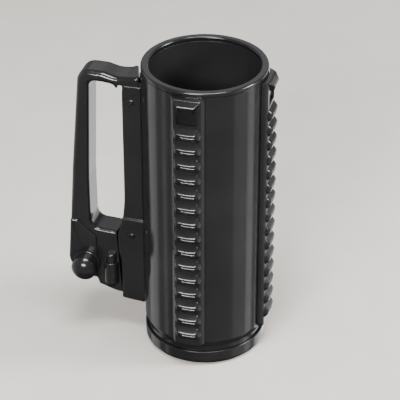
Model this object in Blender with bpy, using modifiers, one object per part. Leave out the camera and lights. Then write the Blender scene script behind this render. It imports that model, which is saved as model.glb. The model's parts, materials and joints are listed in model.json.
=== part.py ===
"""Black rail-sided drinking mug with a carry handle, as a bolt-together assembly.

Frame: +Z up, origin on the cup's axis at the underside of the foot pad, handle towards -X.
Sizes are written in millimetres and multiplied by MM to give metres.
"""

import math

import bmesh
import bpy
from mathutils import Matrix, Vector

MM = 0.001

# ---- driving dimensions, in millimetres -------------------------------------------------
TOTAL_HEIGHT = 192.0
BODY_RADIUS = 37.5  # outside of the sleeve
SLEEVE_WALL = 2.2
LINER_RADIUS = 32.9  # inside of the cup
LINER_WALL = 1.2
RIM_OVERHANG = 0.1  # rim ring stands this far proud of the sleeve
GAP = 0.3  # clearance between pieces that touch
SCREW_GAP = 0.3  # radial clearance of a screw in its hole
RUNNING_CLEARANCE = 0.09  # radial clearance of the knob's shaft and of the button
ROUND_STEPS = 40  # facets of every piece turned about the cup's axis
SMALL_STEPS = 16  # facets of screws, pins and bores

# base
FOOT_HEIGHT = 10.0
FOOT_EDGE = 4.5  # rounding of the foot's bottom edge
PAD_RADIUS = 31.0
PAD_THICKNESS = 1.8
PAD_STAND = 0.6  # the pad stands this far below the base cap
GROOVE_HEIGHT = 3.8  # shadow groove between foot and body
GROOVE_DEPTH = 1.3
BODY_LOWER_EDGE = 2.8  # height over which the body rounds in to the groove
CAP_FLOOR = 3.4
SPIGOT_WALL = 3.6
SPIGOT_TOP = 20.5
SEAL_RADIUS = 0.65  # cord radius of the base seal
LINER_FLOOR = 24.0  # inside floor of the cup
LINER_CORNER = 7.0

# tie stud that pulls the liner down on the base cap
STUD_RADIUS = 3.0
STUD_FLANGE_RADIUS = 9.0
STUD_FLANGE = 1.2
NUT_FLATS = 10.0
NUT_HEIGHT = 2.6
WASHER_RADIUS = 7.0
WASHER_THICKNESS = 0.8

# rim
RIM_HEIGHT = 2.6
FLANGE_THICKNESS = 1.2
GASKET_THICKNESS = 0.8
SEAT_LEDGE = 1.1  # outer part of the sleeve's top that stands round the flange

# rails
RAIL_BASE_WIDTH = 20.0
RAIL_FACE_WIDTH = 16.6  # width of the strip's outer face
RAIL_BASE_HEIGHT = 2.7  # strip's outer face above the sleeve
RIB_HEIGHT = 2.9
RIB_WIDTH = 16.0  # at its widest
RIB_CREST_WIDTH = 11.0
RIB_PITCH = 10.0
RIB_ROOT = 8.2  # height of a rib at its root, along the rail
RIB_CREST = 3.2  # height of a rib at its crest
TOP_RIB_Z = TOTAL_HEIGHT - 26.0
RAIL_BOTTOM_Z = 15.2
RIB_COUNT = int((TOP_RIB_Z - RAIL_BOTTOM_Z - RIB_ROOT / 2) / RIB_PITCH) + 1
CAP_BOTTOM_Z = TOTAL_HEIGHT - 11.0
CAP_CREST_LOW_Z = TOTAL_HEIGHT - 9.6
CAP_CREST_HIGH_Z = TOTAL_HEIGHT - 7.6
CAP_RISE = 3.2  # cap's crest above the strip
SCREWED_RIBS = (1, RIB_COUNT - 2)  # ribs that hide a screw

# screws that hold rails and spine from inside the sleeve
SCREW_RADIUS = 1.5
SCREW_HEAD_RADIUS = 2.7
SCREW_HEAD = 1.2
SCREW_BITE = 3.6  # length inside the rail or spine
SPINE_SCREW_Z = (TOTAL_HEIGHT - 42.0, 100.0, 50.0)



def out(distance):
    """X on the handle's side, at a distance from the sleeve."""
    return -(BODY_RADIUS + distance)


# handle outline
HANDLE_HALF_WIDTH = 9.0
SPINE_HALF_WIDTH = 4.0
SPINE_BACK_X = out(GAP + 0.1)
COLUMN_X = out(11.3)  # outer edge of the column beside the finger hole
GRIP_INNER_X = out(34.1)
GRIP_TOP_X = out(38.7)
BLOCK_OUTER_X = out(49.0)
HANDLE_TOP_Z = TOTAL_HEIGHT - 11.0
SADDLE_Z = HANDLE_TOP_Z - 2.2
HOLE_TOP_Z = HANDLE_TOP_Z - 6.6
HOLE_BOTTOM_Z = 70.8
HANDLE_CHAMFER = 2.0
ARCH_END_ANGLE = 24.0  # the arch's end face turns away from the rim towards the far side
STEM_LOW_Z = 26.0
BOTTOM_Z = 22.0

# sight block and its knob
BLOCK_HALF_WIDTH = HANDLE_HALF_WIDTH + 1.5
BLOCK_TOP_Z = 76.4
BLOCK_INNER_X = out(29.8)
KNOB_X = out(36.4)
KNOB_Z = 45.4
KNOB_RADIUS = 8.0
KNOB_LENGTH = 8.6
KNOB_DOME = 2.4
SHAFT_RADIUS = 2.0
SPRING_WASHER = 0.6
SPRING_WASHER_RADIUS = 5.4
COLLAR_LENGTH = 2.6
COLLAR_RADIUS = 4.6

# side plates
PLATE_UPPER_HALF_WIDTH = HANDLE_HALF_WIDTH + 0.5
PLATE_LOWER_HALF_WIDTH = HANDLE_HALF_WIDTH + 1.5
PLATE_TOP_Z = HANDLE_TOP_Z - 6.0
PLATE_TOP_LOW_Z = HANDLE_TOP_Z - 8.8  # below this the plate reaches the column's edge
PLATE_STEP_Z = 82.5
PLATE_LOWER_X = out(15.7)
PLATE_BACK_X = out(-7.5)  # trimmed to follow the sleeve
CROSS_SCREWS = ((out(5.4), HANDLE_TOP_Z - 16.7), (out(6.5), 70.4))  # x and z of each cross screw
CROSS_SCREW_RADIUS = 1.5
CROSS_HEAD_RADIUS = 2.0
CROSS_HEAD_DEPTH = 1.0
CROSS_NUT_RADIUS = 3.0
CROSS_NUT_HEIGHT = 2.2

# push button in its pod
POD_X = out(20.7)
POD_Y = -(HANDLE_HALF_WIDTH + 0.4)
POD_RADIUS = 4.6
POD_BOTTOM_Z = 31.0
POD_TOP_Z = 49.0
BUTTON_RADIUS = 3.4
BUTTON_TOP_Z = 55.0
BUTTON_TRAVEL = 2.0
BUTTON_GUIDE = 1.5  # length of the head that stays inside the pod
CHAMBER_DEPTH = 6.5
POD_FLOOR = 1.2
STEM_RADIUS = 2.0
NECK_RADIUS = 1.2
PIN_RADIUS = 0.8
PIN_Z = 38.0
SPRING_WIRE = 0.25
SPRING_TURNS = 3

# ---- sizes worked out from the driving dimensions ---------------------------------------
SLEEVE_INNER = BODY_RADIUS - SLEEVE_WALL
LINER_OUTER = LINER_RADIUS + LINER_WALL
RIM_RADIUS = BODY_RADIUS + RIM_OVERHANG
RIM_BOTTOM_Z = TOTAL_HEIGHT - RIM_HEIGHT
SLEEVE_TOP_Z = RIM_BOTTOM_Z - GAP
SLEEVE_BOTTOM_Z = FOOT_HEIGHT + GAP
BODY_EDGE_Z = FOOT_HEIGHT + GROOVE_HEIGHT
FLANGE_TOP_Z = RIM_BOTTOM_Z - GAP
FLANGE_LOW_Z = FLANGE_TOP_Z - FLANGE_THICKNESS
GASKET_LOW_Z = FLANGE_LOW_Z - GAP - GASKET_THICKNESS
SEAT_Z = GASKET_LOW_Z - GAP
SEAT_RADIUS = BODY_RADIUS - SEAT_LEDGE
FLANGE_RADIUS = SEAT_RADIUS - GAP
RAIL_BACK = BODY_RADIUS + GAP
RAIL_FACE = BODY_RADIUS + RAIL_BASE_HEIGHT
RIB_CREST_RADIUS = RAIL_FACE + RIB_HEIGHT
CAP_CREST_RADIUS = RAIL_FACE + CAP_RISE
RAIL_TOP_Z = SLEEVE_TOP_Z - 0.5
CAP_FLOOR_LOW_Z = PAD_STAND + PAD_THICKNESS - 0.3
RECESS_RADIUS = WASHER_RADIUS + 1.2
HUB_LOW_Z = CAP_FLOOR_LOW_Z + NUT_HEIGHT + WASHER_THICKNESS + 3 * GAP
HUB_TOP_Z = HUB_LOW_Z + 2.4
KNOB_BACK_Y = -(BLOCK_HALF_WIDTH + SPRING_WASHER + 2 * GAP)

PROUD = 1.0  # how far a cutter runs past the surface it opens

# ---- scene and helpers ------------------------------------------------------------------


def clear_scene():
    for obj in list(bpy.data.objects):
        bpy.data.objects.remove(obj, do_unlink=True)


def new_collection(name):
    collection = bpy.data.collections.new(name)
    bpy.context.scene.collection.children.link(collection)
    return collection


def new_material(name, colour, roughness, metallic=0.0):
    material = bpy.data.materials.new(name)
    material.use_nodes = True
    shader = material.node_tree.nodes["Principled BSDF"]
    shader.inputs["Base Color"].default_value = (*colour, 1.0)
    shader.inputs["Roughness"].default_value = roughness
    shader.inputs["Metallic"].default_value = metallic
    return material


clear_scene()
MUG = new_collection("rail_mug")
CUTTERS = new_collection("cutters")

SHELL = new_material("black_shell", (0.018, 0.018, 0.019), 0.30)
COATING = new_material("black_coating", (0.030, 0.030, 0.032), 0.34, 0.6)
RUBBER = new_material("black_rubber", (0.020, 0.020, 0.020), 0.80)
FASTENER = new_material("dark_steel", (0.090, 0.090, 0.095), 0.35, 1.0)
SPRING_STEEL = new_material("spring_steel", (0.42, 0.42, 0.43), 0.28, 1.0)


def shade(obj):
    """Smooth shading with the real edges kept sharp."""
    obj.data.shade_smooth()
    obj.data.set_sharp_from_angle(angle=math.radians(35))


def add_mesh(name, mesh, material=None):
    """Puts a mesh in the mug's collection, or with no material in the cutters' collection."""
    obj = bpy.data.objects.new(name, mesh)
    if material is None:
        CUTTERS.objects.link(obj)
        obj.hide_render = True
        obj.display_type = "WIRE"
    else:
        MUG.objects.link(obj)
        mesh.materials.append(material)
        shade(obj)
    return obj


def mesh_from(name, builder):
    mesh = bpy.data.meshes.new(name)
    bm = bmesh.new()
    builder(bm)
    bm.to_mesh(mesh)
    bm.free()
    return mesh


def turned(name, profile, material=None, steps=ROUND_STEPS, closed=True, place=None):
    """A shape turned about local Z. profile holds (radius, z) pairs, top to bottom on the outer side."""

    def chain(bm):
        points = [bm.verts.new((r * MM, 0.0, z * MM)) for r, z in profile]
        last = len(points) if closed else len(points) - 1
        for i in range(last):
            bm.edges.new((points[i], points[(i + 1) % len(points)]))

    obj = add_mesh(name, mesh_from(name, chain), material)
    screw = obj.modifiers.new("turn", "SCREW")
    screw.steps = steps
    screw.render_steps = steps
    screw.use_merge_vertices = True
    screw.merge_threshold = 0.00001
    screw.use_smooth_shade = True
    if place is not None:
        obj.matrix_world = place
    return obj


def baked(obj, name, material=None):
    """A plain mesh object with obj's modifiers applied and its placing moved into the mesh."""
    graph = bpy.context.evaluated_depsgraph_get()
    mesh = bpy.data.meshes.new_from_object(obj.evaluated_get(graph))
    mesh.transform(obj.matrix_world)
    mesh.materials.clear()
    bm = bmesh.new()
    bm.from_mesh(mesh)
    bmesh.ops.remove_doubles(bm, verts=bm.verts, dist=0.000005)
    bm.to_mesh(mesh)
    bm.free()
    bpy.data.objects.remove(obj, do_unlink=True)
    return add_mesh(name, mesh, material)


def outline_piece(name, loops, low_y, high_y, material=None):
    """A flat piece: closed loops of (x, z) points, filled and given its thickness along Y."""
    curve = bpy.data.curves.new(name + "_outline", "CURVE")
    curve.dimensions = "2D"
    curve.fill_mode = "BOTH"
    curve.extrude = (high_y - low_y) * MM / 2
    for loop in loops:
        spline = curve.splines.new("POLY")
        spline.points.add(len(loop) - 1)
        for point, (x, z) in zip(spline.points, loop):
            point.co = (x * MM, z * MM, 0.0, 1.0)
        spline.use_cyclic_u = True
    obj = bpy.data.objects.new(name + "_outline", curve)
    CUTTERS.objects.link(obj)
    obj.location = (0.0, (low_y + high_y) * MM / 2, 0.0)
    obj.rotation_euler = (math.radians(90), 0.0, 0.0)
    bpy.context.view_layer.update()
    return baked(obj, name, material)


def block(name, low, high, material=None):
    """A box between two corners."""

    def cube(bm):
        bmesh.ops.create_cube(bm, size=1.0)
        size = Vector(high) - Vector(low)
        centre = (Vector(high) + Vector(low)) / 2
        bmesh.ops.scale(bm, vec=size * MM, verts=bm.verts)
        bmesh.ops.translate(bm, vec=centre * MM, verts=bm.verts)

    return add_mesh(name, mesh_from(name, cube), material)


def rounded(corners, steps=3):
    """Outline points of a polygon of (x, z, radius) corners, each corner rounded by an arc."""
    points = []
    count = len(corners)
    for i, (x, z, radius) in enumerate(corners):
        corner = Vector((x, z))
        before = (Vector(corners[i - 1][:2]) - corner).normalized()
        after = (Vector(corners[(i + 1) % count][:2]) - corner).normalized()
        half = before.angle(after) / 2
        if radius == 0 or half > math.radians(89):
            points.append((x, z))
            continue
        reach = radius / math.tan(half)
        centre = corner + (before + after).normalized() * (radius / math.sin(half))
        start = corner + before * reach - centre
        sweep = start.angle_signed(corner + after * reach - centre)
        for k in range(steps + 1):
            turn = Matrix.Rotation(-sweep * k / steps, 2)
            points.append(tuple(centre + turn @ start))
    return points


def along_y(x, z, y=0.0):
    """Placing that lays a turned shape's axis along +Y through (x, z), its z = 0 at y."""
    return Matrix.Translation(Vector((x, y, z)) * MM) @ Matrix.Rotation(math.radians(-90), 4, "X")


def outwards(turn_deg, z):
    """Placing that lays a turned shape's axis along the radius at that angle from +X."""
    spin = Matrix.Rotation(math.radians(turn_deg), 4, "Z")
    lean = Matrix.Rotation(math.radians(90), 4, "Y")
    return Matrix.Translation((0.0, 0.0, z * MM)) @ spin @ lean


def boolean(obj, other, operation):
    modifier = obj.modifiers.new(operation.lower() + "_" + other.name, "BOOLEAN")
    modifier.operation = operation
    modifier.object = other


def cut(obj, *cutters):
    for cutter in cutters:
        boolean(obj, cutter, "DIFFERENCE")


def joined(name, objs, material=None):
    """One object that holds several separate solids."""
    bm = bmesh.new()
    graph = bpy.context.evaluated_depsgraph_get()
    for obj in objs:
        mesh = bpy.data.meshes.new_from_object(obj.evaluated_get(graph))
        mesh.transform(obj.matrix_world)
        bm.from_mesh(mesh)
        bpy.data.meshes.remove(mesh)
        bpy.data.objects.remove(obj, do_unlink=True)
    mesh = bpy.data.meshes.new(name)
    bm.to_mesh(mesh)
    bm.free()
    return add_mesh(name, mesh, material)


def rod_profile(radius, low, high):
    """Open profile of a plain rod, for turned()."""
    return [(0, high), (radius, high), (radius, low), (0, low)]


def rod(name, radius, low, high, material=None, place=None, steps=SMALL_STEPS):
    return turned(name, rod_profile(radius, low, high), material, steps, False, place)


# ---- base -------------------------------------------------------------------------------


def make_base():
    foot_radius = BODY_RADIUS - 0.1
    spigot = SLEEVE_INNER - GAP
    inner = spigot - SPIGOT_WALL
    floor_top = CAP_FLOOR_LOW_Z + CAP_FLOOR
    seal_z = SPIGOT_TOP - 3.5
    seal_slot = 2 * SEAL_RADIUS + 2 * GAP
    slot_floor = spigot - 2 * SEAL_RADIUS - GAP
    pad_seat = PAD_RADIUS + GAP
    edge = [
        (
            foot_radius - FOOT_EDGE * (1 - math.cos(a)),
            PAD_STAND + FOOT_EDGE * (1 - math.sin(a)),
        )
        for a in (math.radians(d) for d in (0, 30, 60, 90))
    ]
    profile = [
        (inner, SPIGOT_TOP),
        (spigot, SPIGOT_TOP),
        (spigot, seal_z + seal_slot / 2),
        (slot_floor, seal_z + seal_slot / 2),
        (slot_floor, seal_z - seal_slot / 2),
        (spigot, seal_z - seal_slot / 2),
        (spigot, FOOT_HEIGHT),
        (foot_radius - 0.8, FOOT_HEIGHT),
        (foot_radius, FOOT_HEIGHT - 0.8),
        *edge,
        (pad_seat, PAD_STAND),
        (pad_seat, CAP_FLOOR_LOW_Z),
        (RECESS_RADIUS, CAP_FLOOR_LOW_Z),
        (RECESS_RADIUS, HUB_LOW_Z),
        (STUD_RADIUS + SCREW_GAP, HUB_LOW_Z),
        (STUD_RADIUS + SCREW_GAP, HUB_TOP_Z),
        (RECESS_RADIUS + 2.0, HUB_TOP_Z),
        (RECESS_RADIUS + 2.0, floor_top),
        (inner, floor_top),
    ]
    turned("base_cap", profile, SHELL)

    seal_centre = slot_floor + GAP / 2 + SEAL_RADIUS
    sides = 8
    ring = [
        (
            seal_centre + SEAL_RADIUS * math.cos(-2 * math.pi * k / sides),
            seal_z + SEAL_RADIUS * math.sin(-2 * math.pi * k / sides),
        )
        for k in range(sides)
    ]
    turned("base_seal", ring, RUBBER)

    pad_top = CAP_FLOOR_LOW_Z - GAP
    pad = [(0, pad_top), (PAD_RADIUS, pad_top), (PAD_RADIUS, 0.5), (PAD_RADIUS - 0.5, 0), (0, 0)]
    turned("foot_pad", pad, RUBBER, closed=False)


def make_tie():
    liner_under = LINER_FLOOR - LINER_WALL
    flange_top = liner_under - GAP
    flange_low = flange_top - STUD_FLANGE
    nut_low = CAP_FLOOR_LOW_Z + GAP
    stud = [
        (0, flange_top),
        (STUD_FLANGE_RADIUS, flange_top),
        (STUD_FLANGE_RADIUS, flange_low),
        (STUD_RADIUS, flange_low),
        (STUD_RADIUS, nut_low),
        (0, nut_low),
    ]
    turned("tie_stud", stud, FASTENER, steps=24, closed=False)
    bore = STUD_RADIUS + SCREW_GAP
    nut_top = nut_low + NUT_HEIGHT
    corner = NUT_FLATS / 2 / math.cos(math.radians(30))
    nut = outline_ring("tie_nut", corner, bore, nut_low, nut_top, FASTENER)
    washer_low = nut_top + GAP
    washer_top = washer_low + WASHER_THICKNESS
    washer = [
        (WASHER_RADIUS, washer_top),
        (WASHER_RADIUS, washer_low),
        (bore, washer_low),
        (bore, washer_top),
    ]
    turned("tie_washer", washer, FASTENER, steps=24)
    return nut


def outline_ring(name, corner, bore, low, high, material, place=None):
    """A hexagonal nut with a round bore, standing on local Z."""
    solid = rod(name + "_hex", corner, low, high, steps=6)
    hole = rod(name + "_bore", bore, low - PROUD, high + PROUD)
    cut(solid, hole)
    bpy.context.view_layer.update()
    nut = baked(solid, name, material)
    bpy.data.objects.remove(hole, do_unlink=True)
    if place is not None:
        nut.matrix_world = place
    return nut


# ---- cup --------------------------------------------------------------------------------


def make_liner():
    under = LINER_FLOOR - LINER_WALL
    steps = 3
    bend = [math.radians(90 * k / steps) for k in range(steps + 1)]
    outer_corner = [
        (
            LINER_OUTER - (LINER_CORNER + LINER_WALL) * (1 - math.cos(a)),
            under + (LINER_CORNER + LINER_WALL) * (1 - math.sin(a)),
        )
        for a in bend
    ]
    inner_corner = [
        (
            LINER_RADIUS - LINER_CORNER * (1 - math.cos(a)),
            LINER_FLOOR + LINER_CORNER * (1 - math.sin(a)),
        )
        for a in reversed(bend)
    ]
    profile = [
        (LINER_RADIUS, FLANGE_TOP_Z),
        (FLANGE_RADIUS, FLANGE_TOP_Z),
        (FLANGE_RADIUS, FLANGE_LOW_Z),
        (LINER_OUTER, FLANGE_LOW_Z),
        *outer_corner,
        (0, under),
        (0, LINER_FLOOR),
        *inner_corner,
    ]
    # the chain starts and ends at the rim's inner corner, so its axis points close the floor
    start = profile.index((0, LINER_FLOOR))
    ordered = profile[start:] + profile[:start]
    turned("cup_liner", ordered, COATING, closed=False)


def make_rim():
    profile = [
        (LINER_RADIUS + 0.9, TOTAL_HEIGHT),
        (RIM_RADIUS - 1.9, TOTAL_HEIGHT),
        (RIM_RADIUS - 0.8, TOTAL_HEIGHT - 0.4),
        (RIM_RADIUS - 0.2, TOTAL_HEIGHT - 1.1),
        (RIM_RADIUS, TOTAL_HEIGHT - 1.9),
        (RIM_RADIUS, RIM_BOTTOM_Z),
        (LINER_RADIUS, RIM_BOTTOM_Z),
        (LINER_RADIUS, TOTAL_HEIGHT - 0.9),
    ]
    turned("rim_ring", profile, SHELL)
    outer = FLANGE_RADIUS
    inner = SLEEVE_INNER + 0.1
    top = GASKET_LOW_Z + GASKET_THICKNESS
    gasket = [(outer, top), (outer, GASKET_LOW_Z), (inner, GASKET_LOW_Z), (inner, top)]
    turned("rim_gasket", gasket, RUBBER)


def screw_profile(length, clearance=0.0):
    """Countersunk screw lying along +Z from the sleeve's inner wall, head first."""
    head_end = SLEEVE_INNER + SCREW_HEAD
    return [
        (0, SLEEVE_INNER + length),
        (SCREW_RADIUS + clearance, SLEEVE_INNER + length),
        (SCREW_RADIUS + clearance, head_end + clearance),
        (SCREW_HEAD_RADIUS + clearance, SLEEVE_INNER + 0.1 + clearance),
        (SCREW_HEAD_RADIUS + clearance, SLEEVE_INNER + 0.1 - clearance * 6),
        (0, SLEEVE_INNER + 0.1 - clearance * 6),
    ]


def radial_screws():
    """(angle, z) of every screw that goes out through the sleeve."""
    rail_z = [TOP_RIB_Z - RIB_PITCH * k for k in SCREWED_RIBS]
    places = [(angle, z) for angle in RAILS.values() for z in rail_z]
    return places + [(180.0, z) for z in SPINE_SCREW_Z]


RAILS = {"front_rail": -90.0, "side_rail": 0.0, "back_rail": 90.0}


def screw_cutter(name):
    """All the screws' holes as one cutter, a little larger than the screws."""
    length = SLEEVE_WALL + SCREW_BITE + GAP
    holes = [
        turned(f"{name}_{i}", screw_profile(length, SCREW_GAP), None, 12, False, outwards(angle, z))
        for i, (angle, z) in enumerate(radial_screws())
    ]
    bpy.context.view_layer.update()
    return joined(name, holes)


def make_sleeve(holes):
    groove = BODY_RADIUS - GROOVE_DEPTH
    profile = [
        (SEAT_RADIUS, SLEEVE_TOP_Z),
        (BODY_RADIUS, SLEEVE_TOP_Z),
        (BODY_RADIUS, BODY_EDGE_Z + BODY_LOWER_EDGE),
        (BODY_RADIUS - 0.35, BODY_EDGE_Z + BODY_LOWER_EDGE * 0.4),
        (groove, BODY_EDGE_Z),
        (groove, SLEEVE_BOTTOM_Z),
        (SLEEVE_INNER, SLEEVE_BOTTOM_Z),
        (SLEEVE_INNER, SEAT_Z),
        (SEAT_RADIUS, SEAT_Z),
    ]
    sleeve = turned("outer_sleeve", profile, SHELL)
    cut(sleeve, holes)


def make_radial_screws():
    """One screw per hole, each named for what it holds."""
    length = SLEEVE_WALL + SCREW_BITE
    heights = {TOP_RIB_Z - RIB_PITCH * k: word for k, word in zip(SCREWED_RIBS, ("upper", "lower"))}
    spine_heights = dict(zip(SPINE_SCREW_Z, ("upper", "middle", "lower")))
    rail_names = {angle: name for name, angle in RAILS.items()}
    for angle, z in radial_screws():
        name = f"{spine_heights.get(z)}_spine_screw"
        if angle in rail_names:
            name = f"{rail_names[angle]}_{heights[z]}_screw"
        turned(name, screw_profile(length), FASTENER, 12, False, outwards(angle, z))


# ---- rails ------------------------------------------------------------------------------


def rail_side_profile():
    """Toothed outline of a rail seen from its side: (radius, z) points."""
    inside = BODY_RADIUS - 3.0
    points = [
        (inside, RAIL_TOP_Z),
        (RAIL_FACE, RAIL_TOP_Z),
        (CAP_CREST_RADIUS, CAP_CREST_HIGH_Z),
        (CAP_CREST_RADIUS, CAP_CREST_LOW_Z),
        (RAIL_FACE, CAP_BOTTOM_Z),
    ]
    for k in range(RIB_COUNT):
        z = TOP_RIB_Z - k * RIB_PITCH
        points += [
            (RAIL_FACE, z + RIB_ROOT / 2),
            (RIB_CREST_RADIUS, z + RIB_CREST / 2),
            (RIB_CREST_RADIUS, z - RIB_CREST / 2),
            (RAIL_FACE, z - RIB_ROOT / 2),
        ]
    points += [
        (RAIL_FACE, RAIL_BOTTOM_Z + 1.2),
        (RAIL_FACE - 1.2, RAIL_BOTTOM_Z),
        (inside, RAIL_BOTTOM_Z),
    ]
    return points


def rail_section():
    """Cross-section of a rail: (radius, across) points, symmetric about across = 0."""
    half = [
        (BODY_RADIUS - 3.0, RAIL_BASE_WIDTH / 2),
        (RAIL_BACK - 0.2, RAIL_BASE_WIDTH / 2),
        (RAIL_FACE, RAIL_FACE_WIDTH / 2),
        (RAIL_FACE + RIB_HEIGHT * 0.35, RIB_WIDTH / 2),
        (RIB_CREST_RADIUS + PROUD, RIB_CREST_WIDTH / 2 - PROUD * 0.9),
    ]
    return half + [(r, -across) for r, across in reversed(half)]


def section_bar(name):
    """The rail's cross-section drawn out along Z, longer than the rail."""
    section = rail_section()
    bottom, top = RAIL_BOTTOM_Z - PROUD, RAIL_TOP_Z + PROUD

    def extrude(bm):
        low = [bm.verts.new((r * MM, a * MM, bottom * MM)) for r, a in section]
        face = bm.faces.new(low)
        grown = bmesh.ops.extrude_face_region(bm, geom=[face])
        verts = [v for v in grown["geom"] if isinstance(v, bmesh.types.BMVert)]
        bmesh.ops.translate(bm, vec=(0.0, 0.0, (top - bottom) * MM), verts=verts)
        bmesh.ops.recalc_face_normals(bm, faces=bm.faces)

    return add_mesh(name, mesh_from(name, extrude))


def make_rails(holes):
    bar = section_bar("rail_bar")
    barrel = rod("rail_back_round", RAIL_BACK, RAIL_BOTTOM_Z - PROUD, RAIL_TOP_Z + PROUD, steps=ROUND_STEPS)
    for name, angle in RAILS.items():
        half = RAIL_BASE_WIDTH / 2 + PROUD
        rail = outline_piece(name, [rail_side_profile()], -half, half, SHELL)
        boolean(rail, bar, "INTERSECT")
        cut(rail, barrel)
        bpy.context.view_layer.update()
        rail = baked(rail, name, SHELL)
        rail.matrix_world = Matrix.Rotation(math.radians(angle), 4, "Z")
        bpy.context.view_layer.update()
        cut(rail, holes)


# ---- handle -----------------------------------------------------------------------------


def handle_outline():
    return rounded(
        [
            (SPINE_BACK_X, HANDLE_TOP_Z - 0.4, 1.0),
            (out(14.5), SADDLE_Z, 30.0),
            (out(23.0), HANDLE_TOP_Z, 12.0),
            (GRIP_TOP_X, HANDLE_TOP_Z, 12.0),
            (out(44.7), 112.0, 60.0),
            (BLOCK_OUTER_X, KNOB_Z, 9.0),
            (out(42.5), 36.5, 5.0),
            (out(30.7), 33.6, 2.0),
            (out(29.1), STEM_LOW_Z + 3.2, 1.0),
            (out(16.5), STEM_LOW_Z - 0.8, 0),
            (SPINE_BACK_X, STEM_LOW_Z - 1.6, 0.5),
        ]
    )


def finger_hole():
    return rounded(
        [
            (GRIP_INNER_X + 2.6, HOLE_TOP_Z, 6.0),
            (out(17.1), HOLE_TOP_Z - 0.4, 4.0),
            (out(14.1), HOLE_TOP_Z - 2.6, 0),
            (out(13.4), HOLE_TOP_Z - 0.2, 0),
            (COLUMN_X - 0.4, HOLE_TOP_Z - 0.2, 0),
            (COLUMN_X - 0.4, PLATE_TOP_LOW_Z - 3.0, 0),
            (COLUMN_X, PLATE_TOP_LOW_Z - 8.0, 0),
            (COLUMN_X, 96.0, 0),
            (out(13.1), 80.0, 20.0),
            (PLATE_LOWER_X - GAP, HOLE_BOTTOM_Z, 1.0),
            (GRIP_INNER_X + 1.2, HOLE_BOTTOM_Z + 0.8, 5.0),
            (GRIP_INNER_X, HOLE_BOTTOM_Z + 30.0, 40.0),
        ]
    )


def block_outline():
    """The sight block's raised part."""
    return rounded(
        [
            (out(46.4), BLOCK_TOP_Z, 1.0),
            (out(41.5), BLOCK_TOP_Z - 0.4, 3.0),
            (BLOCK_INNER_X, 66.0, 3.0),
            (BLOCK_INNER_X, 34.4, 1.5),
            (out(41.9), 37.2, 5.0),
            (out(48.3), KNOB_Z, 8.0),
        ]
    )


def plate_outline(grow=0.0):
    """Side plate seen from its side; grow widens it into the pocket that the plate sits in."""
    return rounded(
        [
            (PLATE_BACK_X, PLATE_TOP_Z + grow, 0),
            (COLUMN_X + 0.7 - grow, PLATE_TOP_Z + grow, 0.5),
            (COLUMN_X + 0.7 - grow, PLATE_TOP_LOW_Z + grow, 0),
            (COLUMN_X + 0.3 - grow * 8, PLATE_TOP_LOW_Z + grow, 0),
            (COLUMN_X + 0.3 - grow * 8, 96.0, 0),
            (out(12.8) - grow * 5, 80.0, 14.0),
            (PLATE_LOWER_X - grow, 70.4, 3.0),
            (PLATE_LOWER_X - grow, 58.0, 6.0),
            (out(13.7) - grow, 53.0, 3.0),
            (out(13.7) - grow, BOTTOM_Z + 2.4 - grow * 20, 1.0),
            (PLATE_BACK_X, BOTTOM_Z - grow * 20, 0),
        ]
    )


def pod():
    """Half-round pod on the stem's near side that houses the push button."""
    profile = [
        (0, POD_TOP_Z),
        (POD_RADIUS - 0.5, POD_TOP_Z),
        (POD_RADIUS, POD_TOP_Z - 0.5),
        (POD_RADIUS, POD_BOTTOM_Z + 2.2),
        (POD_RADIUS - 1.2, POD_BOTTOM_Z + 0.5),
        (POD_RADIUS - 2.6, POD_BOTTOM_Z),
        (0, POD_BOTTOM_Z),
    ]
    place = Matrix.Translation(Vector((POD_X, POD_Y, 0)) * MM)
    return turned("pod_body", profile, None, SMALL_STEPS, False, place)


def button_bore():
    """Channel for the head, chamber for the spring, and the narrower guide below them."""
    chamber_floor = POD_TOP_Z - CHAMBER_DEPTH
    profile = [
        (0, BUTTON_TOP_Z + PROUD),
        (BUTTON_RADIUS + RUNNING_CLEARANCE, BUTTON_TOP_Z + PROUD),
        (BUTTON_RADIUS + RUNNING_CLEARANCE, chamber_floor),
        (STEM_RADIUS + RUNNING_CLEARANCE, chamber_floor),
        (STEM_RADIUS + RUNNING_CLEARANCE, POD_BOTTOM_Z + POD_FLOOR),
        (0, POD_BOTTOM_Z + POD_FLOOR),
    ]
    place = Matrix.Translation(Vector((POD_X, POD_Y, 0)) * MM)
    return turned("button_bore", profile, None, SMALL_STEPS, False, place)


def pin_x():
    """The pin crosses beside the button's neck, where it stops the wider stem."""
    return POD_X + NECK_RADIUS + PIN_RADIUS + 0.15


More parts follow.
